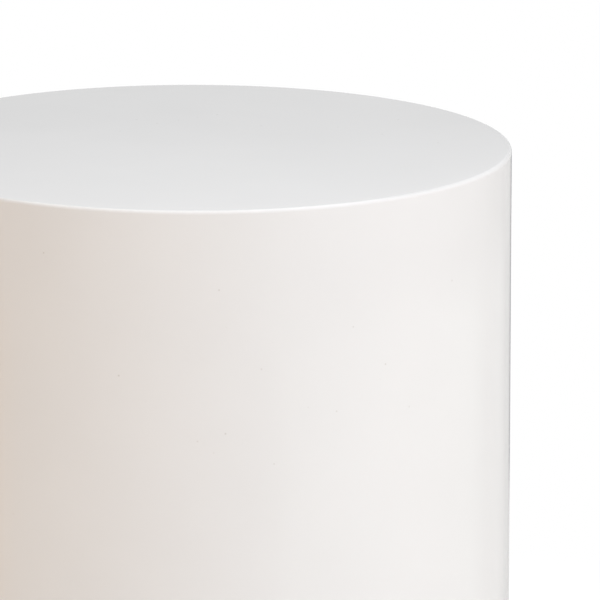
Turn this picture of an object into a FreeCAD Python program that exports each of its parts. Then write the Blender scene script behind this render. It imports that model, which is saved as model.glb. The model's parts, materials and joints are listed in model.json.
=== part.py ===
"""Drum side table: a lacquered bent-sheet drum on a plywood carcass, standing on four screw levellers.

Millimetres, +Z up, origin on the floor at the middle of the four feet. Each piece is one STEP in parts/.
The carcass is three plywood rings let over upright stiles. Two bent sheets are glued round it with their
butt seams on opposite sides, and a flush disc with a rounded rim is dowelled and screwed on top.
"""
import FreeCAD
import Part
import math
import os

# Drum
OVERALL_DIAMETER = 450.0
OVERALL_HEIGHT = 500.0
EDGE_RADIUS = 3.0           # rounding of the top's rim
LOWER_EDGE_RADIUS = 1.5     # eased lower edge of the wall
TOP_THICKNESS = 18.0
OUTER_SKIN_THICKNESS = 4.0
INNER_SKIN_THICKNESS = 4.0
SEAM_GAP = 0.4              # butt joint in each bent sheet, filled before lacquering
GLUE_LINE = 0.15            # between curved faces that are glued together

# Carcass
RING_THICKNESS = 18.0
RING_WIDTH = 60.0
RING_ARRIS = 1.0            # chamfer on the rings' inner edges
STILE_WIDTH = 44.0
STILE_THICKNESS = 18.0
STILE_COUNT = 6
NOTCH_CLEARANCE = 0.2       # round a stile in its notch
BASE_RECESS = 8.0           # base ring above the wall's lower edge

# Dowels between the top ring and the top panel
DOWEL_DIAMETER = 8.0
DOWEL_IN_RING = 13.0
DOWEL_IN_TOP = 11.0
DOWEL_CHAMFER = 1.0
DOWEL_CLEARANCE = 0.1
DOWEL_END_GAP = 0.8         # room for glue at each end

# Countersunk wood screws: 4 mm for the carcass, 3 mm for the inserts' flanges
CARCASS_SCREW_DIAMETER = 4.0
CARCASS_HEAD_DIAMETER = 8.0
TOP_SCREW_BITE = 12.0       # length in the top panel
STILE_SCREW_BITE = 26.0     # length in a ring's edge
INSERT_SCREW_DIAMETER = 2.6
INSERT_HEAD_DIAMETER = 5.0
INSERT_SCREW_LENGTH = 12.0
SCREW_SINK = 0.3            # head below the wood's face
SCREW_CLEARANCE = 0.1
RECESS_WIDTH_SHARE = 0.15   # of the head's diameter
RECESS_SPAN_SHARE = 0.6     # of the head's diameter
RECESS_DEPTH_SHARE = 0.28   # of the head's diameter

# Threaded inserts, screwed to the underside of the base ring, threads drawn plain
THREAD_DIAMETER = 8.0
THREAD_CLEARANCE = 0.1
BARREL_DIAMETER = 11.0
BARREL_LENGTH = 14.0
FLANGE_DIAMETER = 29.0
FLANGE_THICKNESS = 2.0
FLANGE_SCREW_CIRCLE = 21.4
FLANGE_SCREW_COUNT = 3
INSERT_CLEARANCE = 0.15

# Levellers: a turned stem with a hexagonal collar, free to spin in a moulded foot on a rubber sole
LEVELLER_COUNT = 4
LEVELLER_TRAVEL = 10.0
STEM_SPARE = 6.0            # thread left above the insert at full travel
STEM_CHAMFER = 1.0
COLLAR_SIDES = 6
COLLAR_ACROSS_FLATS = 13.0
COLLAR_HEIGHT = 4.7
COLLAR_GAP = 0.3            # between collar and foot
NECK_DIAMETER = 6.0
BUTTON_DIAMETER = 10.0
BUTTON_THICKNESS = 2.0
SOCKET_CLEARANCE = 0.2
SOCKET_END_PLAY = 0.1
FOOT_DIAMETER = 34.0
FOOT_WEB = 1.5              # floor of the socket
FOOT_LIP = 2.3              # over the button
FOOT_CHAMFER = 1.8
SOLE_DIAMETER = 28.0
SOLE_THICKNESS = 3.0
SOLE_PROUD = 1.0
SOLE_CLEARANCE = 0.15

OVERRUN = 1.0               # how far every cutting shape passes the face it cuts

# Angles, in degrees from +X: the wall's outer seam is at the back, over a stile
BACK_ANGLE = 90.0
FULL_TURN = 360.0
stile_pitch = FULL_TURN / STILE_COUNT
stile_angles = [BACK_ANGLE + i * stile_pitch for i in range(STILE_COUNT)]
SCREW_ANGLE_SHARE = 0.5     # top screws halfway between stiles
DOWEL_ANGLE_SHARE = 0.25    # dowels halfway between a stile and a top screw
LEVELLER_ANGLE_SHARE = 0.5  # levellers halfway between the X and Y axes
leveller_pitch = FULL_TURN / LEVELLER_COUNT
leveller_angles = [(i + LEVELLER_ANGLE_SHARE) * leveller_pitch for i in range(LEVELLER_COUNT)]

# Radii from the outside in
wall_radius = OVERALL_DIAMETER / 2
inner_skin_radius = wall_radius - OUTER_SKIN_THICKNESS - GLUE_LINE
ring_radius = inner_skin_radius - INNER_SKIN_THICKNESS - GLUE_LINE
ring_bore = ring_radius - RING_WIDTH
stile_back = ring_radius - STILE_THICKNESS
joint_circle = (ring_bore + stile_back) / 2     # dowels, top screws and levellers, clear of the stiles

# Heights from the floor up
foot_low = SOLE_PROUD
socket_low = SOLE_THICKNESS + FOOT_WEB
socket_high = socket_low + BUTTON_THICKNESS + 2 * SOCKET_END_PLAY
foot_high = socket_high + FOOT_LIP
button_low = socket_low + SOCKET_END_PLAY
button_high = button_low + BUTTON_THICKNESS
collar_low = foot_high + COLLAR_GAP
base_low = collar_low + COLLAR_HEIGHT           # the collar stops against the insert's flange
stem_high = base_low + FLANGE_THICKNESS + BARREL_LENGTH + LEVELLER_TRAVEL + STEM_SPARE
wall_low = base_low - BASE_RECESS
wall_high = OVERALL_HEIGHT - TOP_THICKNESS
top_ring_low = wall_high - RING_THICKNESS
middle_ring_low = (base_low + top_ring_low) / 2
ring_lows = {"base_ring": base_low, "middle_ring": middle_ring_low, "top_ring": top_ring_low}


def vec(x, y, z):
    return FreeCAD.Vector(x, y, z)


AXIS = vec(0, 0, 1)
CENTRE = vec(0, 0, 0)


def disc(radius, low, high):
    """A solid cylinder on the Z axis between two heights."""
    return Part.makeCylinder(radius, high - low, vec(0, 0, low))


def turned(points):
    """A solid turned about the Z axis from (radius, height) points."""
    outline = [vec(radius, 0, height) for radius, height in points]
    return Part.Face(Part.makePolygon(outline + outline[:1])).revolve(CENTRE, AXIS, FULL_TURN)


def turned_with_round(points, round_from, round_to, corner, radius):
    """A turned solid whose edge from round_from to round_to is a quarter circle about corner."""
    middle_direction = (round_from + round_to - corner * 2).normalize()
    arc = Part.Arc(round_from, corner + middle_direction * radius, round_to).toShape()
    lines = Part.makePolygon([round_to] + [vec(r, 0, z) for r, z in points] + [round_from])
    return Part.Face(Part.Wire([arc] + lines.Edges)).revolve(CENTRE, AXIS, FULL_TURN)


def placed(shape, radius, angle):
    """A copy of a shape modelled on the Z axis, moved out to a radius and round to an angle."""
    moved = shape.copy()
    moved.translate(vec(radius, 0, 0))
    moved.rotate(CENTRE, AXIS, angle)
    return moved


def raised(shape, height):
    moved = shape.copy()
    moved.translate(vec(0, 0, height))
    return moved


def screw(diameter, head_diameter, length):
    """A countersunk screw on the Z axis: head face at z = 0, point down, with a cross recess."""
    head_depth = (head_diameter - diameter) / 2
    body = turned([
        (0, 0),
        (head_diameter / 2, 0),
        (diameter / 2, -head_depth),
        (diameter / 2, diameter - length),
        (0, -length),
    ])
    span = head_diameter * RECESS_SPAN_SHARE
    width = head_diameter * RECESS_WIDTH_SHARE
    depth = head_diameter * RECESS_DEPTH_SHARE
    for across, along in ((span, width), (width, span)):
        corner = vec(-across / 2, -along / 2, -depth)
        body = body.cut(Part.makeBox(across, along, depth + OVERRUN, corner))
    return body


def screw_hole(diameter, head_diameter, length):
    """The hole for such a screw: its outline grown by the clearance, open above the head."""
    head_depth = (head_diameter - diameter) / 2
    head = head_diameter / 2 + SCREW_CLEARANCE
    shank = diameter / 2 + SCREW_CLEARANCE
    return turned([
        (0, SCREW_SINK + OVERRUN),
        (head, SCREW_SINK + OVERRUN),
        (head, 0),
        (shank, -head_depth),
        (shank, -length - SCREW_CLEARANCE),
        (0, -length - SCREW_CLEARANCE),
    ])


def pointing_up(shape):
    turned_over = shape.copy()
    turned_over.rotate(CENTRE, vec(1, 0, 0), FULL_TURN / 2)
    return turned_over


def pointing_in(shape):
    """From point down to point along -X, for screws driven in from the drum's outside."""
    laid = shape.copy()
    laid.rotate(CENTRE, vec(0, 1, 0), FULL_TURN / 4)
    return laid


top_screw_length = RING_THICKNESS - SCREW_SINK + TOP_SCREW_BITE
stile_screw_length = STILE_THICKNESS - SCREW_SINK + STILE_SCREW_BITE
top_screw_angles = [angle + SCREW_ANGLE_SHARE * stile_pitch for angle in stile_angles]
dowel_angles = [angle + DOWEL_ANGLE_SHARE * stile_pitch for angle in stile_angles]


def at_top_screws(shape):
    """Copies of a screw, or of its hole, pointing up through the top ring into the top panel."""
    standing = raised(pointing_up(shape), top_ring_low + SCREW_SINK)
    return [placed(standing, joint_circle, angle) for angle in top_screw_angles]


def at_stile_screws(shape, angles, lows):
    """Copies of a screw, or of its hole, through each stile into the middle of each ring's edge."""
    laid = pointing_in(shape)
    heights = [low + RING_THICKNESS / 2 for low in lows]
    return [placed(raised(laid, height), ring_radius - SCREW_SINK, angle)
            for angle in angles for height in heights]


def at_levellers(shape):
    return [placed(shape, joint_circle, angle) for angle in leveller_angles]


def at_flange_screws(shape):
    """Copies of a screw, or of its hole, round one insert's flange on the Z axis, pointing up."""
    standing = raised(pointing_up(shape), base_low)
    pitch = FULL_TURN / FLANGE_SCREW_COUNT
    return [placed(standing, FLANGE_SCREW_CIRCLE / 2, i * pitch) for i in range(FLANGE_SCREW_COUNT)]


def make_top_panel():
    """The disc that closes the drum, flush with the wall, its rim rounded, drilled from below."""
    rim = wall_radius - EDGE_RADIUS
    shoulder = OVERALL_HEIGHT - EDGE_RADIUS
    panel = turned_with_round(
        [(0, OVERALL_HEIGHT), (0, wall_high), (wall_radius, wall_high)],
        vec(wall_radius, 0, shoulder),
        vec(rim, 0, OVERALL_HEIGHT),
        vec(rim, 0, shoulder),
        EDGE_RADIUS,
    )
    dowel_hole = disc(DOWEL_DIAMETER / 2 + DOWEL_CLEARANCE, wall_high - OVERRUN,
                      wall_high + DOWEL_IN_TOP + DOWEL_END_GAP)
    holes = [placed(dowel_hole, joint_circle, angle) for angle in dowel_angles]
    holes += at_top_screws(screw_hole(CARCASS_SCREW_DIAMETER, CARCASS_HEAD_DIAMETER, top_screw_length))
    return panel.cut(holes)


def cut_seam(sheet, radius, thickness, angle):
    """Opens a bent sheet along its upright butt seam."""
    slit = Part.makeBox(thickness + 2 * OVERRUN, SEAM_GAP, wall_high - wall_low + 2 * OVERRUN,
                        vec(-thickness - OVERRUN, -SEAM_GAP / 2, wall_low - OVERRUN))
    return sheet.cut(placed(slit, radius, angle))


def make_outer_skin():
    """The visible sheet, seamed at the back, its lower outer edge eased."""
    inside = wall_radius - OUTER_SKIN_THICKNESS
    corner = vec(wall_radius - LOWER_EDGE_RADIUS, 0, wall_low + LOWER_EDGE_RADIUS)
    sheet = turned_with_round(
        [(wall_radius, wall_high), (inside, wall_high), (inside, wall_low)],
        vec(wall_radius - LOWER_EDGE_RADIUS, 0, wall_low),
        vec(wall_radius, 0, wall_low + LOWER_EDGE_RADIUS),
        corner,
        LOWER_EDGE_RADIUS,
    )
    return cut_seam(sheet, wall_radius, OUTER_SKIN_THICKNESS, BACK_ANGLE)


def make_inner_skin():
    """The sheet glued to the carcass, seamed at the front so that the two seams never meet."""
    inside = inner_skin_radius - INNER_SKIN_THICKNESS
    sheet = disc(inner_skin_radius, wall_low, wall_high)
    sheet = sheet.cut(disc(inside, wall_low - OVERRUN, wall_high + OVERRUN))
    return cut_seam(sheet, inner_skin_radius, INNER_SKIN_THICKNESS, BACK_ANGLE + FULL_TURN / 2)


def make_ring(low):
    """A plywood ring with a notch in its outer edge for each stile and a hole for each stile's screw."""
    high = low + RING_THICKNESS
    ring = turned([
        (ring_radius, low),
        (ring_radius, high),
        (ring_bore + RING_ARRIS, high),
        (ring_bore, high - RING_ARRIS),
        (ring_bore, low + RING_ARRIS),
        (ring_bore + RING_ARRIS, low),
    ])
    depth = STILE_THICKNESS + NOTCH_CLEARANCE
    width = STILE_WIDTH + 2 * NOTCH_CLEARANCE
    notch = Part.makeBox(depth + OVERRUN, width, RING_THICKNESS + 2 * OVERRUN,
                         vec(-depth, -width / 2, low - OVERRUN))
    cuts = [placed(notch, ring_radius, angle) for angle in stile_angles]
    hole = screw_hole(CARCASS_SCREW_DIAMETER, CARCASS_HEAD_DIAMETER, stile_screw_length)
    return ring.cut(cuts + at_stile_screws(hole, stile_angles, [low]))


def make_top_ring():
    hole = screw_hole(CARCASS_SCREW_DIAMETER, CARCASS_HEAD_DIAMETER, top_screw_length)
    dowel_hole = disc(DOWEL_DIAMETER / 2 + DOWEL_CLEARANCE, wall_high - DOWEL_IN_RING - DOWEL_END_GAP,
                      wall_high + OVERRUN)
    holes = [placed(dowel_hole, joint_circle, angle) for angle in dowel_angles]
    return make_ring(top_ring_low).cut(holes + at_top_screws(hole))


def make_base_ring():
    """The lowest ring, counterbored for the inserts' flanges and bored through for their barrels."""
    barrel = disc(BARREL_DIAMETER / 2 + INSERT_CLEARANCE, base_low - OVERRUN,
                  base_low + RING_THICKNESS + OVERRUN)
    flange = disc(FLANGE_DIAMETER / 2 + INSERT_CLEARANCE, base_low - OVERRUN, base_low + FLANGE_THICKNESS)
    hole = screw_hole(INSERT_SCREW_DIAMETER, INSERT_HEAD_DIAMETER, INSERT_SCREW_LENGTH)
    cuts = [barrel, flange] + at_flange_screws(hole)
    return make_ring(base_low).cut([copy for cut in cuts for copy in at_levellers(cut)])


def make_stile(angle):
    """An upright batten, planed on its outside to the rings' curve, with a screw into every ring."""
    height = wall_high - base_low
    corner = vec(-STILE_THICKNESS, -STILE_WIDTH / 2, base_low)
    batten = Part.makeBox(STILE_THICKNESS, STILE_WIDTH, height, corner)
    batten = placed(batten, ring_radius, angle).common(disc(ring_radius, base_low, wall_high))
    hole = screw_hole(CARCASS_SCREW_DIAMETER, CARCASS_HEAD_DIAMETER, stile_screw_length)
    return batten.cut(at_stile_screws(hole, [angle], ring_lows.values()))


def make_dowels():
    low = wall_high - DOWEL_IN_RING
    high = wall_high + DOWEL_IN_TOP
    radius = DOWEL_DIAMETER / 2
    dowel = turned([
        (0, low),
        (radius - DOWEL_CHAMFER, low),
        (radius, low + DOWEL_CHAMFER),
        (radius, high - DOWEL_CHAMFER),
        (radius - DOWEL_CHAMFER, high),
        (0, high),
    ])
    return Part.makeCompound([placed(dowel, joint_circle, angle) for angle in dowel_angles])


def make_top_screws():
    one = screw(CARCASS_SCREW_DIAMETER, CARCASS_HEAD_DIAMETER, top_screw_length)
    return Part.makeCompound(at_top_screws(one))


def make_stile_screws():
    one = screw(CARCASS_SCREW_DIAMETER, CARCASS_HEAD_DIAMETER, stile_screw_length)
    return Part.makeCompound(at_stile_screws(one, stile_angles, ring_lows.values()))


def make_insert_screws():
    one = screw(INSERT_SCREW_DIAMETER, INSERT_HEAD_DIAMETER, INSERT_SCREW_LENGTH)
    round_flange = at_flange_screws(one)
    return Part.makeCompound([copy for fixed in round_flange for copy in at_levellers(fixed)])


def make_insert():
    """A steel bush with a flange, on the Z axis at its height in the base ring."""
    flange = disc(FLANGE_DIAMETER / 2, base_low, base_low + FLANGE_THICKNESS)
    barrel = disc(BARREL_DIAMETER / 2, base_low, base_low + FLANGE_THICKNESS + BARREL_LENGTH)
    bore = disc(THREAD_DIAMETER / 2 + THREAD_CLEARANCE, base_low - OVERRUN,
                base_low + FLANGE_THICKNESS + BARREL_LENGTH + OVERRUN)
    hole = screw_hole(INSERT_SCREW_DIAMETER, INSERT_HEAD_DIAMETER, INSERT_SCREW_LENGTH)
    return flange.fuse(barrel).removeSplitter().cut([bore] + at_flange_screws(hole))


def make_stem():
    """Button, neck, hexagonal collar and threaded shank, on the Z axis, screwed right in."""
    thread = THREAD_DIAMETER / 2
    post = turned([
        (0, button_low),
        (BUTTON_DIAMETER / 2, button_low),
        (BUTTON_DIAMETER / 2, button_high),
        (NECK_DIAMETER / 2, button_high),
        (NECK_DIAMETER / 2, collar_low),
        (thread, collar_low),
        (thread, stem_high - STEM_CHAMFER),
        (thread - STEM_CHAMFER, stem_high),
        (0, stem_high),
    ])
    side_angle = 2 * math.pi / COLLAR_SIDES
    corner_radius = COLLAR_ACROSS_FLATS / 2 / math.cos(side_angle / 2)
    turns = [i * side_angle for i in range(COLLAR_SIDES)]
    corners = [vec(corner_radius * math.cos(turn), corner_radius * math.sin(turn), collar_low)
               for turn in turns]
    collar = Part.Face(Part.makePolygon(corners + corners[:1])).extrude(vec(0, 0, COLLAR_HEIGHT))
    return post.fuse(collar).removeSplitter()


def make_foot():
    """A moulded foot on the Z axis: a recess for the sole below, a socket for the stem's button above."""
    radius = FOOT_DIAMETER / 2
    socket = BUTTON_DIAMETER / 2 + SOCKET_CLEARANCE
    mouth = NECK_DIAMETER / 2 + SOCKET_CLEARANCE
    recess = SOLE_DIAMETER / 2 + SOLE_CLEARANCE
    return turned([
        (0, SOLE_THICKNESS),
        (recess, SOLE_THICKNESS),
        (recess, foot_low),
        (radius, foot_low),
        (radius, foot_high - FOOT_CHAMFER),
        (radius - FOOT_CHAMFER, foot_high),
        (mouth, foot_high),
        (mouth, socket_high),
        (socket, socket_high),
        (socket, socket_low),
        (0, socket_low),
    ])


def make_sole():
    return disc(SOLE_DIAMETER / 2, 0, SOLE_THICKNESS)


def numbered(name, shapes):
    return {f"{name}_{i + 1}": shape for i, shape in enumerate(shapes)}


def make_parts():
    parts = {
        "top_panel": make_top_panel(),
        "outer_skin": make_outer_skin(),
        "inner_skin": make_inner_skin(),
        "top_ring": make_top_ring(),
        "middle_ring": make_ring(middle_ring_low),
        "base_ring": make_base_ring(),
        "top_dowels": make_dowels(),
        "top_screws": make_top_screws(),
        "stile_screws": make_stile_screws(),
        "insert_screws": make_insert_screws(),
    }
    parts.update(numbered("stile", [make_stile(angle) for angle in stile_angles]))
    parts.update(numbered("threaded_insert", at_levellers(make_insert())))
    parts.update(numbered("leveller_stem", at_levellers(make_stem())))
    parts.update(numbered("leveller_foot", at_levellers(make_foot())))
    parts.update(numbered("leveller_sole", at_levellers(make_sole())))
    return parts


os.makedirs("parts", exist_ok=True)
for node, shape in make_parts().items():
    shape.exportStep(f"parts/{node}.step")
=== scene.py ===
"""White gloss drum side table, dressed piece by piece in the order that it is put together. Metres, +Z up."""
import json
import math

import bpy
import numpy as np
from mathutils import Matrix, Vector


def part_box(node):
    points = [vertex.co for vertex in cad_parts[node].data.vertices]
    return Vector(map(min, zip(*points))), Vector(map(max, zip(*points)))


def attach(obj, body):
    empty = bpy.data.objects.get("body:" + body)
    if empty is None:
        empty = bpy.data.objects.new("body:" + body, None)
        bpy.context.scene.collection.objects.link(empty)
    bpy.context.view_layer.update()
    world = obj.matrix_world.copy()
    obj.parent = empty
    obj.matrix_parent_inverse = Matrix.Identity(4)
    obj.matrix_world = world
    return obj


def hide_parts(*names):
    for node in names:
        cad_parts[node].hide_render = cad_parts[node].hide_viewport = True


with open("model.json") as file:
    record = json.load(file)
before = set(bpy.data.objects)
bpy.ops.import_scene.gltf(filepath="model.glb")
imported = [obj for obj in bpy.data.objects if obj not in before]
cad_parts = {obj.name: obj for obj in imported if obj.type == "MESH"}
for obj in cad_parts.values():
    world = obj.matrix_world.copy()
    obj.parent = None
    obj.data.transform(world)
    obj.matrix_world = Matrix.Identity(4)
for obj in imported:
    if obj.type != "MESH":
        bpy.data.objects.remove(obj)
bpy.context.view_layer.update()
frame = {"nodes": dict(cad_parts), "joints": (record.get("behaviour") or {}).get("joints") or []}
nodes = frame["nodes"]


# Carcass rings: three hoops of 18 mm birch plywood, routed from the sheet and notched for the stiles.
# The faces show pale rotary-cut veneer. The routed edges show thirteen plies, every other one end grain,
# with a dark glue line between them.
MM = 0.001                              # a millimetre in metres
RINGS = ("base_ring", "middle_ring", "top_ring")
PLY_COUNT = 13
FACE_TILT = 0.6                         # a face is flat veneer where its normal is more upright than this
VENEER_FIGURE = 38 * MM                 # width of the veneer's flame
VENEER_FIBRE = 1.1 * MM                 # width of a fibre, drawn coarser than real so that it shows
VENEER_STRETCH = (0.06, 1.0, 1.0)       # the grain runs along X
VENEER_RELIEF = 0.06 * MM
VENEER_TONES = [(0.14, "#C7A272"), (0.36, "#DCC096")]
PLY_TONES = [                           # two plies, upwards: glue line, long grain, glue line, end grain
    (0.0, "#6E4C2C"), (0.05, "#D2B285"), (0.45, "#CFAE80"),
    (0.5, "#6E4C2C"), (0.55, "#A57C4E"), (0.95, "#A97F50")]
SPECKLE_TONES = [(0.3, "#C4C0BA"), (0.6, "#FFFFFF")]


def linear(code):
    """An sRGB hex colour as linear RGBA: each channel goes back through the sRGB curve."""
    channels = [int(code[i:i + 2], 16) / 255 for i in (1, 3, 5)]
    return [c / 12.92 if c <= 0.04045 else ((c + 0.055) / 1.055) ** 2.4 for c in channels] + [1.0]


def add(tree, kind, out=None, inputs=None, stops=(), **settings):
    """Adds one node and returns its output `out`, or the node where none is named. Settings are the node's
    properties; inputs are its sockets by identifier or number, each a value or another node's output; stops
    are a ramp's (position, hex colour) pairs."""
    node = tree.nodes.new(kind)
    for name, value in settings.items():
        setattr(node, name, value)
    for i, (position, code) in enumerate(stops):
        if i >= len(node.color_ramp.elements):
            node.color_ramp.elements.new(position)
        node.color_ramp.elements[i].position = position
        node.color_ramp.elements[i].color = linear(code)
    sockets = {s.identifier: s for s in node.inputs}
    for key, value in (inputs or {}).items():
        socket = node.inputs[key] if isinstance(key, int) else sockets[key]
        if isinstance(value, bpy.types.NodeSocket):
            tree.links.new(value, socket)
        else:
            socket.default_value = value
    outputs = {s.identifier: s for s in node.outputs}
    return outputs.get(out, node)


def start_material(name):
    """An empty node material; returns it, its tree and the piece's own coordinates in metres."""
    material = bpy.data.materials.new(name)
    material.use_nodes = True
    material.node_tree.nodes.clear()
    return material, material.node_tree, add(material.node_tree, "ShaderNodeTexCoord", "Object")


def dress(material, *names):
    """Gives carried-over nodes this material alone."""
    for name in names:
        nodes[name].data.materials.clear()
        nodes[name].data.materials.append(material)


def birch_plywood(ring):
    """Sanded birch plywood gives silky pale faces with a faint flame and fine fibres, and edges striped by
    height, counted in plies from the ring's lower face."""
    low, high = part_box(ring)
    material, tree, place = start_material(f"birch_plywood_{ring}")
    along = add(tree, "ShaderNodeMapping", "Vector", {"Vector": place, "Scale": VENEER_STRETCH})
    figure = add(tree, "ShaderNodeTexNoise", "Fac", {
        "Vector": along, "Scale": 1 / VENEER_FIGURE, "Detail": 3.0, "Distortion": 1.2})
    fibre = add(tree, "ShaderNodeTexNoise", "Fac", {
        "Vector": along, "Scale": 1 / VENEER_FIBRE, "Detail": 2.0})
    grain = add(tree, "ShaderNodeMath", "Value", {0: figure, 1: fibre}, operation="MULTIPLY")
    face = add(tree, "ShaderNodeValToRGB", "Color", {"Fac": grain}, VENEER_TONES)

    height = add(tree, "ShaderNodeSeparateXYZ", "Z", {"Vector": place})
    two_plies = 2 * (high.z - low.z) / PLY_COUNT
    layer = add(tree, "ShaderNodeMapRange", "Result", {
        "Value": height, "From Min": low.z, "From Max": low.z + two_plies}, clamp=False)
    layer = add(tree, "ShaderNodeMath", "Value", {0: layer}, operation="FRACT")
    plies = add(tree, "ShaderNodeValToRGB", "Color", {"Fac": layer}, PLY_TONES)
    speckle = add(tree, "ShaderNodeValToRGB", "Color", {"Fac": fibre}, SPECKLE_TONES)
    edge = add(tree, "ShaderNodeMix", "Result_Color", {
        "Factor_Float": 1.0, "A_Color": plies, "B_Color": speckle}, data_type="RGBA", blend_type="MULTIPLY")

    normal = add(tree, "ShaderNodeNewGeometry", "Normal")
    upright = add(tree, "ShaderNodeSeparateXYZ", "Z", {"Vector": normal})
    upright = add(tree, "ShaderNodeMath", "Value", {0: upright}, operation="ABSOLUTE")
    is_face = add(tree, "ShaderNodeMath", "Value", {0: upright, 1: FACE_TILT}, operation="GREATER_THAN")
    colour = add(tree, "ShaderNodeMix", "Result_Color", {
        "Factor_Float": is_face, "A_Color": edge, "B_Color": face}, data_type="RGBA")
    relief = add(tree, "ShaderNodeBump", "Normal", {"Height": fibre, "Distance": VENEER_RELIEF})
    shader = add(tree, "ShaderNodeBsdfPrincipled", "BSDF", {
        "Base Color": colour, "Roughness": 0.62, "IOR": 1.5, "Normal": relief})
    add(tree, "ShaderNodeOutputMaterial", inputs={"Surface": shader})
    return material


for ring in RINGS:
    dress(birch_plywood(ring), ring)


# Stiles: six pine battens, let into the rings' notches and planed on the outside to the wall's curve.
# Each is glued and held by one screw in every ring.
GROWTH_RING = 5.5 * MM                  # spacing of the growth rings
PINE_FIBRE = 0.9 * MM                   # width of a fibre, drawn coarser than real so that it shows
PINE_STRETCH = (1.0, 1.0, 0.045)        # the grain runs upwards
PINE_RELIEF = 0.05 * MM
WAVE_SPACING = math.tau / 20            # spacing of a wave texture's bands at scale 1
PINE_TONES = [(0.0, "#E2C592"), (0.55, "#DDBB83"), (0.9, "#C2925A"), (1.0, "#E2C592")]
STREAK_TONES = [(0.3, "#DAD2C6"), (0.65, "#FFFFFF")]

# Flat-sawn pine, planed, gives wide pale bands between thin amber lines of late wood, streaked by fibres.
pine, tree, place = start_material("planed_pine")
along = add(tree, "ShaderNodeMapping", "Vector", {"Vector": place, "Scale": PINE_STRETCH})
bands = add(tree, "ShaderNodeTexWave", "Fac", {
    "Vector": along, "Scale": WAVE_SPACING / GROWTH_RING,
    "Distortion": 5.0, "Detail": 2.0, "Detail Scale": 0.6}, wave_profile="SAW", bands_direction="DIAGONAL")
fibre = add(tree, "ShaderNodeTexNoise", "Fac", {"Vector": along, "Scale": 1 / PINE_FIBRE, "Detail": 2.0})
growth = add(tree, "ShaderNodeValToRGB", "Color", {"Fac": bands}, PINE_TONES)
streaks = add(tree, "ShaderNodeValToRGB", "Color", {"Fac": fibre}, STREAK_TONES)
colour = add(tree, "ShaderNodeMix", "Result_Color", {
    "Factor_Float": 1.0, "A_Color": growth, "B_Color": streaks}, data_type="RGBA", blend_type="MULTIPLY")
relief = add(tree, "ShaderNodeBump", "Normal", {"Height": fibre, "Distance": PINE_RELIEF})
shader = add(tree, "ShaderNodeBsdfPrincipled", "BSDF", {
    "Base Color": colour, "Roughness": 0.58, "IOR": 1.5, "Normal": relief})
add(tree, "ShaderNodeOutputMaterial", inputs={"Surface": shader})
dress(pine, *[name for name in nodes if name.startswith("stile_") and name != "stile_screws"])


# Wood screws: countersunk, cross-recessed and cold-headed, of steel with bright zinc plating. They hold the
# stiles to the rings, the top to the top ring, and the inserts' flanges to the base ring.
ZINC_CLOUD = 4 * MM                     # width of the plating's clouds
ZINC_GRAIN = 0.4 * MM                   # the plating's grain, drawn coarser than real so that it shows
ZINC_RELIEF = 0.01 * MM
ZINC_TONES = [(0.3, "#B9BEC4"), (0.5, "#C9CBCC"), (0.7, "#CFCBBF")]
NOISE_LOW, NOISE_HIGH = 0.3, 0.7        # nearly all of a noise texture's values lie between these
SCREW_ROUGHNESS = (0.24, 0.4)


def zinc_plate(name, roughness):
    """Zinc-plated steel gives a soft metallic sheen that clouds over, slightly bluish to slightly yellowish,
    with a fine grain. The roughness wanders between the two values."""
    material, tree, place = start_material(name)
    cloud = add(tree, "ShaderNodeTexNoise", "Fac", {"Vector": place, "Scale": 1 / ZINC_CLOUD, "Detail": 3.0})
    grain = add(tree, "ShaderNodeTexNoise", "Fac", {"Vector": place, "Scale": 1 / ZINC_GRAIN, "Detail": 1.0})
    tint = add(tree, "ShaderNodeValToRGB", "Color", {"Fac": cloud}, ZINC_TONES)
    rough = add(tree, "ShaderNodeMapRange", "Result", {
        "Value": cloud, "From Min": NOISE_LOW, "From Max": NOISE_HIGH,
        "To Min": roughness[0], "To Max": roughness[1]})
    relief = add(tree, "ShaderNodeBump", "Normal", {"Height": grain, "Distance": ZINC_RELIEF})
    shader = add(tree, "ShaderNodeBsdfPrincipled", "BSDF", {
        "Base Color": tint, "Metallic": 1.0, "Roughness": rough, "Normal": relief})
    add(tree, "ShaderNodeOutputMaterial", inputs={"Surface": shader})
    return material


dress(zinc_plate("zinc_plated_screws", SCREW_ROUGHNESS), "stile_screws", "top_screws", "insert_screws")


# Dowels: six beech pins, turned and chamfered at both ends. They are glued into holes in the top ring and the
# top, and keep the top in its place while the screws draw it down.
BEECH_FLECK = 0.7 * MM                  # width of a fleck
BEECH_STRETCH = (1.0, 1.0, 0.25)        # the grain runs upwards
BEECH_TONES = [(0.32, "#A8754C"), (0.42, "#CFA27A")]

# Turned beech gives a pinkish brown with short dark flecks.
beech, tree, place = start_material("turned_beech")
along = add(tree, "ShaderNodeMapping", "Vector", {"Vector": place, "Scale": BEECH_STRETCH})
fleck = add(tree, "ShaderNodeTexNoise", "Fac", {"Vector": along, "Scale": 1 / BEECH_FLECK, "Detail": 2.0})
colour = add(tree, "ShaderNodeValToRGB", "Color", {"Fac": fleck}, BEECH_TONES)
shader = add(tree, "ShaderNodeBsdfPrincipled", "BSDF", {"Base Color": colour, "Roughness": 0.55, "IOR": 1.5})
add(tree, "ShaderNodeOutputMaterial", inputs={"Surface": shader})
dress(beech, "top_dowels")


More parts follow.
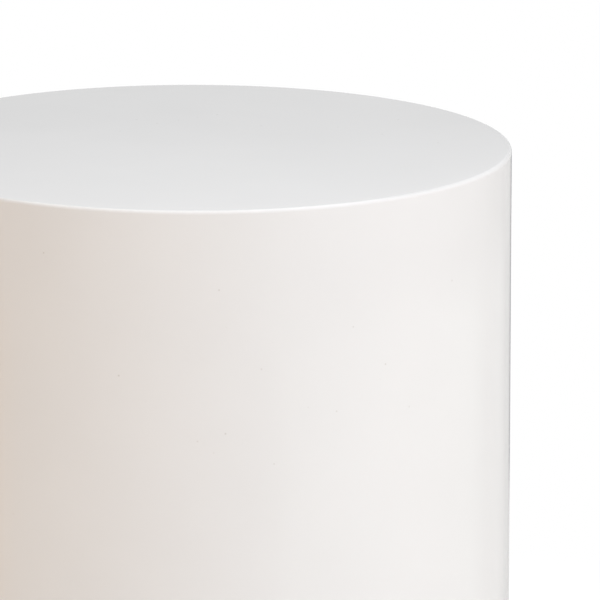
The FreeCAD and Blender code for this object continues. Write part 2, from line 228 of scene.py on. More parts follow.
# Inner skin: 4 mm bending plywood, wrapped round the carcass and glued, with its seam at the front.
# Its inside is left bare, and spray has drifted up it from the lower edge.
BENDING_FIGURE = 22 * MM                # width of the veneer's figure
BENDING_CHECK = 1.6 * MM                # spacing of the bending checks, coarser than real so that they show
BENDING_STRETCH = (1.0, 1.0, 0.03)      # the grain runs upwards
BENDING_RELIEF = 0.12 * MM
BENDING_TONES = [(0.3, "#C39A74"), (0.7, "#DCBB95")]
CHECK_TONES = [(0.32, "#BCA997"), (0.42, "#FFFFFF")]
SPRAY_FULL, SPRAY_GONE = 11 * MM, 35.2 * MM     # heights above the wall's lower edge where it thins out
SPRAY_WANDER, SPRAY_BLOTCH = 22 * MM, 5 * MM    # how far its blotches reach, and their width
LACQUER_WHITE = "#EFEEEB"

# Bare bending plywood gives a dull brown with upright figure and fine dark checks where the bend opened it,
# and a white bloom of overspray low down.
wall_low, wall_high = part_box("outer_skin")
bending_ply, tree, place = start_material("bending_plywood")
along = add(tree, "ShaderNodeMapping", "Vector", {"Vector": place, "Scale": BENDING_STRETCH})
figure = add(tree, "ShaderNodeTexNoise", "Fac", {
    "Vector": along, "Scale": 1 / BENDING_FIGURE, "Detail": 4.0, "Distortion": 0.6})
checks = add(tree, "ShaderNodeTexNoise", "Fac", {"Vector": along, "Scale": 1 / BENDING_CHECK, "Detail": 1.0})
veneer = add(tree, "ShaderNodeValToRGB", "Color", {"Fac": figure}, BENDING_TONES)
cracks = add(tree, "ShaderNodeValToRGB", "Color", {"Fac": checks}, CHECK_TONES)
wood = add(tree, "ShaderNodeMix", "Result_Color", {
    "Factor_Float": 1.0, "A_Color": veneer, "B_Color": cracks}, data_type="RGBA", blend_type="MULTIPLY")
height = add(tree, "ShaderNodeSeparateXYZ", "Z", {"Vector": place})
blotch = add(tree, "ShaderNodeTexNoise", "Fac", {"Vector": place, "Scale": 1 / SPRAY_BLOTCH, "Detail": 3.0})
blotch = add(tree, "ShaderNodeMath", "Value", {
    0: blotch, 1: SPRAY_WANDER, 2: height}, operation="MULTIPLY_ADD")
spray = add(tree, "ShaderNodeMapRange", "Result", {
    "Value": blotch, "From Min": wall_low.z + SPRAY_FULL, "From Max": wall_low.z + SPRAY_GONE,
    "To Min": 1.0, "To Max": 0.0})
colour = add(tree, "ShaderNodeMix", "Result_Color", {
    "Factor_Float": spray, "A_Color": wood, "B_Color": linear(LACQUER_WHITE)}, data_type="RGBA")
relief = add(tree, "ShaderNodeBump", "Normal", {"Height": checks, "Distance": BENDING_RELIEF})
shader = add(tree, "ShaderNodeBsdfPrincipled", "BSDF", {
    "Base Color": colour, "Roughness": 0.6, "IOR": 1.5, "Normal": relief})
add(tree, "ShaderNodeOutputMaterial", inputs={"Surface": shader})
dress(bending_ply, "inner_skin")


# Outer skin: 4 mm bending board glued over the inner one, filled, primed, sprayed with white polyurethane
# gloss, then flatted and polished. The board prints through very slightly: it lies a little flat over the
# stiles, swells at the rings, and dips along its filled seam at the back.
AROUND = 480                            # points round the drum
WALL_STEP = 3 * MM                      # height of a row of the wall's grid
LOWER_EDGE, LOWER_EDGE_ROWS = 1.5 * MM, 9   # radius of the eased lower edge, and its rows
SKIN_THICKNESS = 4 * MM
SHARP_EDGE = math.radians(35)           # faces that meet at more than this show an arris
STILE_COUNT = 6
STILE_FLAT, STILE_HALF = 0.07 * MM, 20 * MM     # depth and half width of a flat
RING_SWELL, RING_HALF = 0.04 * MM, 12 * MM      # height and half width of a swell
SEAM_DIP, SEAM_HALF = 0.06 * MM, 2.2 * MM       # depth and half width of the dip
SEAM_ANGLE = math.pi / 2                # the back; a stile stands behind the seam
SLOW_WAVE = 0.05 * MM                   # height of the slow waves
SLOW_WAVES = [(5, 9, 0.0), (11, -23, 1.3)]  # waves round the drum, radians per metre upwards, start
PRINT_FADE = 30 * MM                    # the print-through dies out over this height below the top
SPRAY_PASS = 110 * MM                   # width of a pass of the gun
ORANGE_PEEL, PEEL_RELIEF = 3.2 * MM, 0.004 * MM     # spacing and height of the coat's ripple
NIB_SPACING = 21 * MM                   # dust is scattered through space this far apart,
NIB_SIZE, NIB_RELIEF = 1.1 * MM, 0.05 * MM  # and leaves a nib where the coat passes this near to it
NIB_GREY = "#D9D6D0"
LACQUER_TONES = [(0.3, "#EDECE9"), (0.7, LACQUER_WHITE)]
LACQUER_ROUGHNESS = (0.05, 0.09)
BOARD_FELT, FELT_RELIEF = 1.2 * MM, 0.05 * MM   # width and height of a tuft, drawn coarser than real


def turned(name, radius, height, centre=(0.0, 0.0), closed=False):
    """Carries a profile round an upright axis. Row i is a circle at height[i], and radius[i] gives its radius
    at each angle. Rows run down the outside, so that faces point outwards. A row of no radius is a single
    point, and closed joins the last row to the first."""
    rows, around = radius.shape
    angle = np.linspace(0, math.tau, around, endpoint=False)
    grid = np.stack([
        centre[0] + radius * np.cos(angle),
        centre[1] + radius * np.sin(angle),
        np.broadcast_to(height[:, None], radius.shape)], axis=-1)
    index = np.arange(rows * around).reshape(rows, around)
    pole = radius.max(axis=1) == 0
    index[pole] = index[pole][:, :1]
    upper = index if closed else index[:-1]
    lower = np.roll(index, -1, axis=0) if closed else index[1:]
    quads = np.stack([upper, lower, np.roll(lower, -1, axis=1), np.roll(upper, -1, axis=1)], axis=-1)
    used, corners = np.unique(quads, return_inverse=True)
    corners = corners.reshape(-1, 4).astype(np.int32)
    distinct = corners != np.roll(corners, -1, axis=1)
    sides = distinct.sum(axis=1, dtype=np.int32)
    mesh = bpy.data.meshes.new(name)
    mesh.vertices.add(len(used))
    mesh.vertices.foreach_set("co", grid.reshape(-1, 3)[used].astype(np.float32).ravel())
    mesh.loops.add(int(sides.sum()))
    mesh.loops.foreach_set("vertex_index", corners[distinct])
    mesh.polygons.add(len(sides))
    mesh.polygons.foreach_set("loop_start", np.cumsum(sides, dtype=np.int32) - sides)
    mesh.update(calc_edges=True)
    mesh.shade_smooth()
    mesh.set_sharp_from_angle(angle=SHARP_EDGE)
    piece = bpy.data.objects.new(name, mesh)
    bpy.context.scene.collection.objects.link(piece)
    return piece


def gloss_lacquer():
    """White two-pack polyurethane, sprayed and polished, gives an almost mirror-smooth coat with faint spray
    passes, a trace of orange peel and a few dust nibs."""
    material, tree, place = start_material("white_polyurethane_gloss")
    passes = add(tree, "ShaderNodeTexNoise", "Fac", {"Vector": place, "Scale": 1 / SPRAY_PASS, "Detail": 2.0})
    colour = add(tree, "ShaderNodeValToRGB", "Color", {"Fac": passes}, LACQUER_TONES)
    nib = add(tree, "ShaderNodeTexVoronoi", "Distance", {"Vector": place, "Scale": 1 / NIB_SPACING})
    nib = add(tree, "ShaderNodeMapRange", "Result", {
        "Value": nib, "From Min": 0.0, "From Max": NIB_SIZE / NIB_SPACING, "To Min": 1.0, "To Max": 0.0},
        interpolation_type="SMOOTHSTEP")
    colour = add(tree, "ShaderNodeMix", "Result_Color", {
        "Factor_Float": nib, "A_Color": colour, "B_Color": linear(NIB_GREY)}, data_type="RGBA")
    rough = add(tree, "ShaderNodeMapRange", "Result", {
        "Value": passes, "From Min": NOISE_LOW, "From Max": NOISE_HIGH,
        "To Min": LACQUER_ROUGHNESS[0], "To Max": LACQUER_ROUGHNESS[1]})
    peel = add(tree, "ShaderNodeTexNoise", "Fac", {"Vector": place, "Scale": 1 / ORANGE_PEEL, "Detail": 1.0})
    relief = add(tree, "ShaderNodeBump", "Normal", {"Height": peel, "Distance": PEEL_RELIEF})
    relief = add(tree, "ShaderNodeBump", "Normal", {"Height": nib, "Distance": NIB_RELIEF, "Normal": relief})
    shader = add(tree, "ShaderNodeBsdfPrincipled", "BSDF", {
        "Base Color": colour, "Roughness": rough, "IOR": 1.5, "Normal": relief})
    add(tree, "ShaderNodeOutputMaterial", inputs={"Surface": shader})
    return material


def raw_board(name, dark, pale):
    """Bare fibreboard gives an even, matte felt of short fibres."""
    material, tree, place = start_material(name)
    felt = add(tree, "ShaderNodeTexNoise", "Fac", {"Vector": place, "Scale": 1 / BOARD_FELT, "Detail": 4.0})
    colour = add(tree, "ShaderNodeValToRGB", "Color", {"Fac": felt}, [(NOISE_LOW, dark), (NOISE_HIGH, pale)])
    relief = add(tree, "ShaderNodeBump", "Normal", {"Height": felt, "Distance": FELT_RELIEF})
    shader = add(tree, "ShaderNodeBsdfPrincipled", "BSDF", {
        "Base Color": colour, "Roughness": 0.8, "IOR": 1.5, "Normal": relief})
    add(tree, "ShaderNodeOutputMaterial", inputs={"Surface": shader})
    return material


def bump_at(distance, half_width):
    """A smooth bump, one at no distance and falling away as a bell curve of that half width."""
    return np.exp(-(distance / half_width) ** 2)


def print_through(angle, height):
    """How far the wall stands off its true radius: flats over the stiles, swells at the rings, the seam's dip
    and a few slow waves, all fading out towards the top."""
    pitch = math.tau / STILE_COUNT
    to_stile = ((angle - SEAM_ANGLE + pitch / 2) % pitch - pitch / 2) * wall_radius
    to_seam = ((angle - SEAM_ANGLE + math.pi) % math.tau - math.pi) * wall_radius
    stiles = -STILE_FLAT * bump_at(to_stile, STILE_HALF)
    seam = -SEAM_DIP * bump_at(to_seam, SEAM_HALF)
    hoops = [sum(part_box(ring), Vector()).z / 2 for ring in RINGS]
    rings = RING_SWELL * sum(bump_at(height - hoop, RING_HALF) for hoop in hoops)
    ripple = sum(np.sin(count * angle + climb * height + start) for count, climb, start in SLOW_WAVES)
    waves = SLOW_WAVE * ripple / len(SLOW_WAVES)
    fade = np.clip((wall_high.z - height) / PRINT_FADE, 0, 1)
    return (stiles + seam + rings + waves) * fade * fade * (3 - 2 * fade)


wall_radius = max(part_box("top_panel")[1].xy)
turn = np.linspace(0, math.tau, AROUND, endpoint=False)
down = np.arange(wall_high.z, wall_low.z + LOWER_EDGE, -WALL_STEP)
bend = np.linspace(0, math.pi / 2, LOWER_EDGE_ROWS)
inset = np.concatenate([np.zeros(len(down)), LOWER_EDGE * (1 - np.cos(bend))])
face_height = np.concatenate([down, wall_low.z + LOWER_EDGE * (1 - np.sin(bend))])
face = wall_radius - inset[:, None] + print_through(turn[None, :], face_height[:, None])
inside = np.full((2, AROUND), wall_radius - SKIN_THICKNESS)
wall = turned(
    "lacquered_wall", np.vstack([face, inside]),
    np.concatenate([face_height, [wall_low.z, wall_high.z]]), closed=True)
lacquer = gloss_lacquer()
wall.data.materials.append(lacquer)
wall.data.materials.append(raw_board("bending_board", "#8A6A48", "#A88660"))
hidden = np.repeat(np.arange(len(face) + len(inside)) >= len(face), AROUND)
wall.data.polygons.foreach_set("material_index", hidden.astype(np.int32))
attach(wall, "drum")
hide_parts("outer_skin")


# Top panel: an 18 mm fibreboard disc, its rim rounded with a router, dowelled and screwed to the top ring.
# It is finished in one coat with the wall, so that no joint shows. Polishing rolls the face off near the rim.
TOP_STEP = 3 * MM                       # width of a row of the top's grid
RIM_ROUND, RIM_ROWS = 3 * MM, 13        # radius of the rounded rim, and its rows
SIDE_ROWS, UNDERSIDE_ROWS = 6, 12
ROLL_OFF, ROLL_WIDTH = 0.06 * MM, 20 * MM   # depth and width of the polished roll-off

top_low, top_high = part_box("top_panel")
flat_edge = wall_radius - RIM_ROUND
across = np.append(np.arange(0, flat_edge, TOP_STEP), flat_edge)
drop = ROLL_OFF * np.clip(1 - (flat_edge - across) / ROLL_WIDTH, 0, 1) ** 2
bend = np.linspace(0, math.pi / 2, RIM_ROWS)[1:]
rim = flat_edge + RIM_ROUND * np.sin(bend)
rim_height = top_high.z - ROLL_OFF - (RIM_ROUND - ROLL_OFF) * (1 - np.cos(bend))
side_height = np.linspace(rim_height[-1], top_low.z, SIDE_ROWS)[1:]
side = np.full(len(side_height), wall_radius)
underside = np.linspace(wall_radius, 0, UNDERSIDE_ROWS)[1:]
radius = np.concatenate([across, rim, side, underside])
height = np.concatenate([top_high.z - drop, rim_height, side_height, np.full(len(underside), top_low.z)])
top = turned("lacquered_top", np.repeat(radius[:, None], AROUND, axis=1), height)
top.data.materials.append(lacquer)
top.data.materials.append(raw_board("sealed_fibreboard", "#87664A", "#A98A68"))
bare = np.repeat(np.arange(len(radius) - 1) >= len(radius) - 1 - len(underside), AROUND)
top.data.polygons.foreach_set("material_index", bare.astype(np.int32))
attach(top, "drum")
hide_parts("top_panel")


# Threaded inserts: four steel bushes, turned with a flat flange, tapped M8 and zinc plated. They are let into
# the underside of the base ring, each held by three small screws.
INSERT_ROUGHNESS = (0.26, 0.42)

inserts = [name for name in nodes if name.startswith("threaded_insert_")]
dress(zinc_plate("zinc_plated_inserts", INSERT_ROUGHNESS), *inserts)


# Leveller stems: zinc-plated M8 steel with a rolled thread, a chamfered hexagonal collar for a spanner, and a
# button at the lower end that spins in the foot. The thread is right handed: a turn lowers the foot a pitch.
STEM_AROUND = 48                        # points round a stem
THREAD_RADIUS, THREAD_DEPTH = 4 * MM, 0.75 * MM
THREAD_PITCH, ROWS_PER_PITCH = 1.25 * MM, 10
STEM_CHAMFER = 1 * MM
COLLAR_HALF = 6.5 * MM                  # half across the flats
COLLAR_HEIGHT = 4.7 * MM
COLLAR_FACE_SHARE = 0.95                # the chamfer's circle over the flats
COLLAR_CHAMFER = math.radians(30)
COLLAR_ROWS = np.array([0, 0.2, 0.4, 0.8, 1.2]) * MM    # depths of the chamfer's rows from the face
NECK_RADIUS = 3 * MM
BUTTON_RADIUS, BUTTON_HEIGHT = 5 * MM, 2 * MM
STEM_ROUGHNESS = (0.2, 0.36)


def hexagon(angle):
    """A hexagon as a radius for each angle: half the flats over the cosine of the angle to the next flat."""
    sixth = math.tau / 6
    return COLLAR_HALF / np.cos(angle % sixth - sixth / 2)


def stem_rows(low, high, collar_top):
    """The stem's radius for each row and angle. The shank is a thread: a triangle wave of height over pitch
    less the share of a turn, cut by the end's chamfer. The collar is the lesser of a hexagon and the cone of
    its chamfer."""
    angle = np.linspace(0, math.tau, STEM_AROUND, endpoint=False)[None, :]
    shank = np.arange(high, collar_top, -THREAD_PITCH / ROWS_PER_PITCH)[:, None]
    phase = (shank / THREAD_PITCH - angle / math.tau) % 1
    thread = THREAD_RADIUS - THREAD_DEPTH * np.abs(2 * phase - 1)
    thread = np.minimum(thread, THREAD_RADIUS - STEM_CHAMFER + (high - shank))
    collar = np.concatenate([COLLAR_ROWS, COLLAR_HEIGHT - COLLAR_ROWS[::-1]])
    to_face = np.minimum(collar, COLLAR_HEIGHT - collar)[:, None]
    cone = COLLAR_HALF * COLLAR_FACE_SHARE + to_face / math.tan(COLLAR_CHAMFER)
    plain = np.array([
        (NECK_RADIUS, collar_top - COLLAR_HEIGHT), (NECK_RADIUS, low + BUTTON_HEIGHT),
        (BUTTON_RADIUS, low + BUTTON_HEIGHT), (BUTTON_RADIUS, low), (0, low)])
    rows = [
        np.zeros((1, STEM_AROUND)), thread, np.full((1, STEM_AROUND), THREAD_RADIUS - THREAD_DEPTH),
        np.minimum(hexagon(angle), cone), np.repeat(plain[:, :1], STEM_AROUND, axis=1)]
    heights = [[high], shank[:, 0], [collar_top], collar_top - collar, plain[:, 1]]
    return np.vstack(rows), np.concatenate(heights)


steel = zinc_plate("zinc_plated_stems", STEM_ROUGHNESS)
collar_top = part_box("base_ring")[0].z
leveller_places = {
    joint["child"].rsplit("_", 1)[1]: joint["pos_m"][:2]
    for joint in frame["joints"] if joint["type"] == "hinge"}
for number, centre in leveller_places.items():
    low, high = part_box(f"leveller_stem_{number}")
    radius, height = stem_rows(low.z, high.z, collar_top)
    stem = turned(f"threaded_stem_{number}", radius, height, centre)
    stem.data.materials.append(steel)
    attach(stem, f"stem_{number}")
    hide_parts(f"leveller_stem_{number}")


# Leveller feet: injection-moulded black nylon with a fluted grip and rounded edges. The stem's button snaps
# into a socket from above, and a recess below takes the sole.
FOOT_AROUND = 144                       # points round a foot
FLUTES, FLUTE_DEPTH = 24, 0.4 * MM
FOOT_ROUND, FOOT_ARRIS, ROUND_ROWS = 1.8 * MM, 0.4 * MM, 7  # radii of the edges, and their rows
MOUTH_RADIUS, SOCKET_RADIUS = 3.2 * MM, 5.2 * MM
SOCKET_LOW, SOCKET_HIGH = 4.5 * MM, 6.7 * MM    # heights above the floor
SOLE_RECESS_RADIUS, SOLE_RECESS_TOP = 14.15 * MM, 3 * MM
PEBBLE, PEBBLE_RELIEF = 0.6 * MM, 0.03 * MM     # width and height of the mould's pebbling
NYLON_TONES = [(0.3, "#1E1F21"), (0.7, "#2A2B2D")]
NYLON_ROUGHNESS = (0.38, 0.52)

# Moulded nylon gives an even, faintly pebbled satin skin, near black.
nylon, tree, place = start_material("moulded_nylon")
pebble = add(tree, "ShaderNodeTexNoise", "Fac", {"Vector": place, "Scale": 1 / PEBBLE, "Detail": 1.0})
colour = add(tree, "ShaderNodeValToRGB", "Color", {"Fac": pebble}, NYLON_TONES)
rough = add(tree, "ShaderNodeMapRange", "Result", {
    "Value": pebble, "To Min": NYLON_ROUGHNESS[0], "To Max": NYLON_ROUGHNESS[1]})
relief = add(tree, "ShaderNodeBump", "Normal", {"Height": pebble, "Distance": PEBBLE_RELIEF})
shader = add(tree, "ShaderNodeBsdfPrincipled", "BSDF", {
    "Base Color": colour, "Roughness": rough, "IOR": 1.53, "Normal": relief})
add(tree, "ShaderNodeOutputMaterial", inputs={"Surface": shader})


def foot_rows(low, high, foot_radius):
    """The foot's radius for each row and angle: socket, mouth, top, rounded shoulder, fluted side and sole
    recess. A flute takes a raised cosine off the side."""
    bend = np.linspace(0, math.pi / 2, ROUND_ROWS)
    shoulder = np.stack([
        foot_radius - FOOT_ROUND * (1 - np.sin(bend)), high - FOOT_ROUND * (1 - np.cos(bend))], axis=1)
    arris = np.stack([
        foot_radius - FOOT_ARRIS * (1 - np.cos(bend)), low + FOOT_ARRIS * (1 - np.sin(bend))], axis=1)
    socket = [
        (0, SOCKET_LOW), (SOCKET_RADIUS, SOCKET_LOW), (SOCKET_RADIUS, SOCKET_HIGH),
        (MOUTH_RADIUS, SOCKET_HIGH), (MOUTH_RADIUS, high)]
    recess = [(SOLE_RECESS_RADIUS, low), (SOLE_RECESS_RADIUS, SOLE_RECESS_TOP), (0, SOLE_RECESS_TOP)]
    profile = np.vstack([socket, shoulder, arris, recess])
    angle = np.linspace(0, math.tau, FOOT_AROUND, endpoint=False)[None, :]
    radius = profile[:, :1]
    near_side = np.clip((radius - (foot_radius - FOOT_ROUND)) / FOOT_ROUND, 0, 1)
    return radius - FLUTE_DEPTH * near_side * (0.5 - 0.5 * np.cos(FLUTES * angle)), profile[:, 1]


for number, centre in leveller_places.items():
    low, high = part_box(f"leveller_foot_{number}")
    radius, height = foot_rows(low.z, high.z, (high.x - low.x) / 2)
    foot = turned(f"nylon_foot_{number}", radius, height, centre)
    foot.data.materials.append(nylon)
    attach(foot, f"foot_{number}")
    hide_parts(f"leveller_foot_{number}")


# Leveller soles: discs of moulded rubber, pressed into the feet's recesses. They stop the table sliding and
# take up the last unevenness of the floor.
RUBBER_DUST, RUBBER_RELIEF = 3 * MM, 0.05 * MM  # width and height of a patch of dust
RUBBER_TONES = [(0.35, "#191919"), (0.75, "#3A3937")]

# Moulded rubber gives a matte black, greyed in patches by the dust of the floor.
rubber, tree, place = start_material("moulded_rubber")
dust = add(tree, "ShaderNodeTexNoise", "Fac", {"Vector": place, "Scale": 1 / RUBBER_DUST, "Detail": 4.0})
colour = add(tree, "ShaderNodeValToRGB", "Color", {"Fac": dust}, RUBBER_TONES)
relief = add(tree, "ShaderNodeBump", "Normal", {"Height": dust, "Distance": RUBBER_RELIEF})
shader = add(tree, "ShaderNodeBsdfPrincipled", "BSDF", {
    "Base Color": colour, "Roughness": 0.75, "IOR": 1.52, "Normal": relief})
add(tree, "ShaderNodeOutputMaterial", inputs={"Surface": shader})
dress(rubber, *[f"leveller_sole_{number}" for number in leveller_places])


# Studio floor: a seamless sweep of white paper. To the eye and in reflections it is white, darkened by the
# table's own shadow, and beneath the table the eye sees it in painted deep shade; as a source of bounced
# light it is an ordinary pale floor. Beneath the table it is open to all but the eye, so that the open base
# is lit and its metal has something to reflect.
FLOOR_HALF = 14.0
FLOOR_BOUNCE = "#E4E3E1"
FLOOR_LIFT = 1.25                       # takes the lit floor up to white
SHADOW_NEAR, SHADOW_FAR = 0.5, 0.9      # distances from the axis over which the shadow gives way to white
GLOSS_NEAR, GLOSS_FAR = 0.25, 0.75      # in reflections the floor shades into the card round it
GLOSS_DULL = 0.6
BENEATH = 0.2                           # radius of the floor beneath the table, which the eye sees in painted deep shade
BENEATH_PAINTED_SHADE, BENEATH_FADE = 0.1, 0.03     # which the eye sees in deep shadow


def rays_that_look(tree, path):
    """One for the light path's rays that look at a thing: the eye's, and those off gloss or through glass."""
    looking = path["Is Camera Ray"]
    for ray in ("Is Glossy Ray", "Is Transmission Ray"):
        looking = add(tree, "ShaderNodeMath", "Value", {0: looking, 1: path[ray]}, operation="MAXIMUM")
    return looking


mesh = bpy.data.meshes.new("floor")
square = [(-FLOOR_HALF, -FLOOR_HALF, 0), (FLOOR_HALF, -FLOOR_HALF, 0),
          (FLOOR_HALF, FLOOR_HALF, 0), (-FLOOR_HALF, FLOOR_HALF, 0)]
mesh.from_pydata(square, [], [(0, 1, 2, 3)])
floor = bpy.data.objects.new("floor", mesh)
bpy.context.scene.collection.objects.link(floor)

# Matte white paper gives a plain white ground with a soft shadow, painted deep shade beneath the table, and
# nothing of its own.
sweep, tree, place = start_material("white_sweep")
path = add(tree, "ShaderNodeLightPath").outputs
looking = rays_that_look(tree, path)
distance = add(tree, "ShaderNodeVectorMath", "Value", {0: place}, operation="LENGTH")
away = add(tree, "ShaderNodeMapRange", "Result", {
    "Value": distance, "From Min": SHADOW_NEAR, "From Max": SHADOW_FAR}, interpolation_type="SMOOTHSTEP")
dulled = add(tree, "ShaderNodeMapRange", "Result", {
    "Value": distance, "From Min": GLOSS_NEAR, "From Max": GLOSS_FAR, "To Min": 1.0, "To Max": GLOSS_DULL})
dulled = add(tree, "ShaderNodeMix", "Result_Float", {
    "Factor_Float": path["Is Glossy Ray"], "A_Float": 1.0, "B_Float": dulled})
# Painted shade: beneath the table the lit floor's colour, as the eye sees it, is cut to a tenth.
painted_shade_lift = add(tree, "ShaderNodeMapRange", "Result", {
    "Value": distance, "From Min": BENEATH, "From Max": BENEATH + BENEATH_FADE,
    "To Min": BENEATH_PAINTED_SHADE * FLOOR_LIFT, "To Max": FLOOR_LIFT})
lift_and_painted_shade = add(tree, "ShaderNodeMath", "Value", {0: dulled, 1: painted_shade_lift}, operation="MULTIPLY")
lit = add(tree, "ShaderNodeBsdfDiffuse", "BSDF", {"Color": lift_and_painted_shade})
white = add(tree, "ShaderNodeEmission", "Emission", {"Color": dulled, "Strength": 1.0})
shown = add(tree, "ShaderNodeMixShader", "Shader", {0: away, 1: lit, 2: white})
bounce = add(tree, "ShaderNodeBsdfDiffuse", "BSDF", {"Color": linear(FLOOR_BOUNCE)})
paper = add(tree, "ShaderNodeMixShader", "Shader", {0: looking, 1: bounce, 2: shown})
beneath = add(tree, "ShaderNodeMath", "Value", {0: distance, 1: BENEATH}, operation="LESS_THAN")
unseen = add(tree, "ShaderNodeMath", "Value", {0: beneath, 1: path["Is Camera Ray"]}, operation="SUBTRACT")
below = add(tree, "ShaderNodeNewGeometry", "Backfacing")
window = add(tree, "ShaderNodeMath", "Value", {0: below, 1: unseen}, operation="MAXIMUM")
clear = add(tree, "ShaderNodeBsdfTransparent", "BSDF")
both = add(tree, "ShaderNodeMixShader", "Shader", {0: window, 1: paper, 2: clear})
add(tree, "ShaderNodeOutputMaterial", inputs={"Surface": both})
floor.data.materials.append(sweep)


# Backdrop: the same white paper all round the set. To the eye and in reflections it is plain white, and as a
# source of light it is the studio's soft ambient.
BACKDROP_WHITE = "#FFFFFF"
AMBIENT = 0.488

world = bpy.data.worlds.new("studio")
world.use_nodes = True
tree = world.node_tree
tree.nodes.clear()
looking = rays_that_look(tree, add(tree, "ShaderNodeLightPath").outputs)
ambient = add(tree, "ShaderNodeBackground", "Background", {
    "Color": linear(BACKDROP_WHITE), "Strength": AMBIENT})
white = add(tree, "ShaderNodeBackground", "Background", {"Color": linear(BACKDROP_WHITE), "Strength": 1.0})
both = add(tree, "ShaderNodeMixShader", "Shader", {0: looking, 1: ambient, 2: white})
add(tree, "ShaderNodeOutputWorld", inputs={"Surface": both})
bpy.context.scene.world = world


# Reflector card: a hoop of grey card round the set that only reflections see, shading off to white upwards.
# A white panel stands low at the right with a grey one beyond it, and a warm one at the left. A dark one
# behind draws the drum's edge on the white ground.
CARD_RADIUS, CARD_HEIGHT = 0.75, 1.4
CARD_AROUND = 96                        # points round the card
CARD_GLOW = 1.25                        # brightness of white card
CARD_TONES = [(0.0, "#C5C5C5"), (0.53, "#C5C5C5"), (0.625, "#B7B7B7"), (0.715, "#D9D9D9")]  # by height
PANEL_SOFT, PANEL_FADE = math.radians(6), 0.03  # softness of a panel's upright and level edges
PANELS = [                              # bearings from the front in degrees, edges, colour, on both sides
    (112, 136, -1.0, 0.30, "#DCDCDB", False),
    (26, 112, -1.0, 0.30, "#F0F4F1", False),
    (-105, -60, -1.0, 0.30, "#D0B28B", False),
    (154, 360, 0.10, 0.42, "#343A48", True)]

card_radius = np.full((2, CARD_AROUND), CARD_RADIUS)
card = turned("reflector_card", card_radius, np.array([CARD_HEIGHT, 0.0]))

# Lit card gives the gloss broad soft-edged bands of tone.
graded, tree, place = start_material("graded_card")
across, depth, height = add(tree, "ShaderNodeSeparateXYZ", inputs={"Vector": place}).outputs
level = add(tree, "ShaderNodeMapRange", "Result", {"Value": height, "From Max": CARD_HEIGHT})
shade = add(tree, "ShaderNodeValToRGB", "Color", {"Fac": level}, [
    (rise / CARD_HEIGHT, code) for rise, code in CARD_TONES])
front = add(tree, "ShaderNodeMath", "Value", {0: depth, 1: -1.0}, operation="MULTIPLY")
bearing = add(tree, "ShaderNodeMath", "Value", {0: across, 1: front}, operation="ARCTAN2")
off_front = add(tree, "ShaderNodeMath", "Value", {0: bearing}, operation="ABSOLUTE")
for first, last, low_edge, top_edge, code, both_sides in PANELS:
    swing = off_front if both_sides else bearing
    panel = 1.0
    for value, edge, soft, before, after in (
            (swing, math.radians(first), PANEL_SOFT, 0.0, 1.0),
            (swing, math.radians(last), PANEL_SOFT, 1.0, 0.0),
            (height, low_edge, PANEL_FADE, 0.0, 1.0),
            (height, top_edge, PANEL_FADE, 1.0, 0.0)):
        within = add(tree, "ShaderNodeMapRange", "Result", {
            "Value": value, "From Min": edge - soft, "From Max": edge + soft,
            "To Min": before, "To Max": after}, interpolation_type="SMOOTHSTEP")
        panel = add(tree, "ShaderNodeMath", "Value", {0: panel, 1: within}, operation="MULTIPLY")
    shade = add(tree, "ShaderNodeMix", "Result_Color", {
        "Factor_Float": panel, "A_Color": shade, "B_Color": linear(code)}, data_type="RGBA")
glow = add(tree, "ShaderNodeEmission", "Emission", {"Color": shade, "Strength": CARD_GLOW})
add(tree, "ShaderNodeOutputMaterial", inputs={"Surface": glow})
card.data.materials.append(graded)
card.visible_camera = card.visible_diffuse = card.visible_shadow = card.visible_transmission = False


# Overhead scrim: a disc of white cloth stretched above the set and lit from behind, which only reflections
# see. It draws the bright line along the rim.
SCRIM_RADIUS, SCRIM_HEIGHT = 1.2, 2.1
SCRIM_GLOW = 2.9

scrim_radius = np.array([0.0, SCRIM_RADIUS])[:, None] * np.ones(CARD_AROUND)
scrim = turned("overhead_scrim", scrim_radius, np.full(2, SCRIM_HEIGHT))

# Lit cloth gives the gloss one even bright patch.
cloth, tree, place = start_material("lit_scrim")
glow = add(tree, "ShaderNodeEmission", "Emission", {"Strength": SCRIM_GLOW})
add(tree, "ShaderNodeOutputMaterial", inputs={"Surface": glow})
scrim.data.materials.append(cloth)
scrim.visible_camera = scrim.visible_diffuse = scrim.visible_shadow = scrim.visible_transmission = False


# Studio lights: large square softboxes that neither the camera nor the gloss sees. A key stands at the right
# and a warm fill at the left, others light the sides, the back and the top, and a weak one under the floor
# lights the open base.
LAMP_REACH = 2.2                        # from the drum's axis to the lamps round it
LAMP_AIM = (0.0, 0.0, 0.3)


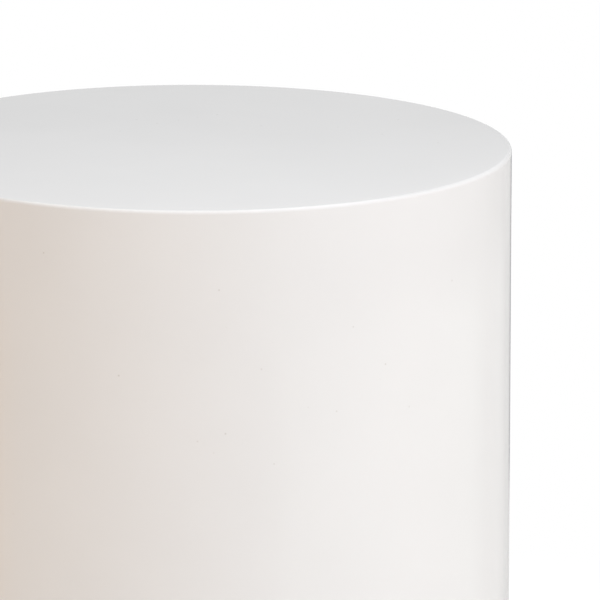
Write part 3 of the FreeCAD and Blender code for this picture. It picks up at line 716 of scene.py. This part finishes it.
def softbox(name, place, size, watts, colour):
    """A square area light of that size at `place`, turned to face the lamps' common aim."""
    light = bpy.data.lights.new(name, "AREA")
    light.shape = "SQUARE"
    light.size = size
    light.energy = watts
    light.color = linear(colour)[:3]
    lamp = bpy.data.objects.new(name, light)
    facing = (Vector(LAMP_AIM) - Vector(place)).to_track_quat("-Z", "Y")
    lamp.matrix_world = Matrix.Translation(place) @ facing.to_matrix().to_4x4()
    lamp.visible_camera = lamp.visible_glossy = False
    bpy.context.scene.collection.objects.link(lamp)


def round_set(bearing, height):
    """A place at the lamps' reach from the axis, at a bearing in degrees from the front towards the right."""
    swing = math.radians(bearing)
    return (LAMP_REACH * math.sin(swing), -LAMP_REACH * math.cos(swing), height)


softbox("key", round_set(bearing=42, height=0.5), size=1.4, watts=19.0, colour="#FFFAFC")
softbox("fill", round_set(bearing=-65, height=0.4), size=1.2, watts=10.3, colour="#FFD2A6")
softbox("side", round_set(bearing=-120, height=0.5), size=1.2, watts=6.0, colour="#FFFFFF")
softbox("back", round_set(bearing=165, height=0.6), size=1.4, watts=18.0, colour="#FFFFFF")
softbox("overhead", place=(0.5, -0.4, 2.1), size=1.4, watts=15.0, colour="#F1F5FF")
softbox("under", place=(0.0, 0.0, -0.3), size=0.8, watts=1.2, colour="#FFFFFF")


# Camera: a long lens in front of the table, looking down about twelve degrees. The frame is tight enough to
# cut the drum off at the left and below.
FOCAL_PIXELS, FRAME_PIXELS = 12440.0, 600.0
SENSOR_WIDTH = 36.0                     # in millimetres
CLIP_END = 100.0
PITCH, YAW, ROLL = math.radians(12.2165), math.radians(0.442), math.radians(0.156)
CAMERA_PLACE = (0.0091, -8.62, 2.255)

camera = bpy.data.objects.new("camera", bpy.data.cameras.new("camera"))
camera.data.sensor_width = SENSOR_WIDTH
camera.data.lens = SENSOR_WIDTH * FOCAL_PIXELS / FRAME_PIXELS
camera.data.clip_end = CLIP_END
ahead = Vector((math.sin(YAW) * math.cos(PITCH), math.cos(YAW) * math.cos(PITCH), -math.sin(PITCH)))
level = Vector((math.cos(YAW), -math.sin(YAW), 0))
upward = level.cross(ahead)
right = level * math.cos(ROLL) + upward * math.sin(ROLL)
up = upward * math.cos(ROLL) - level * math.sin(ROLL)
camera.matrix_world = Matrix.Translation(CAMERA_PLACE) @ Matrix((right, up, -ahead)).transposed().to_4x4()
bpy.context.scene.collection.objects.link(camera)
bpy.context.scene.camera = camera
bpy.context.scene.view_settings.view_transform = "Standard"
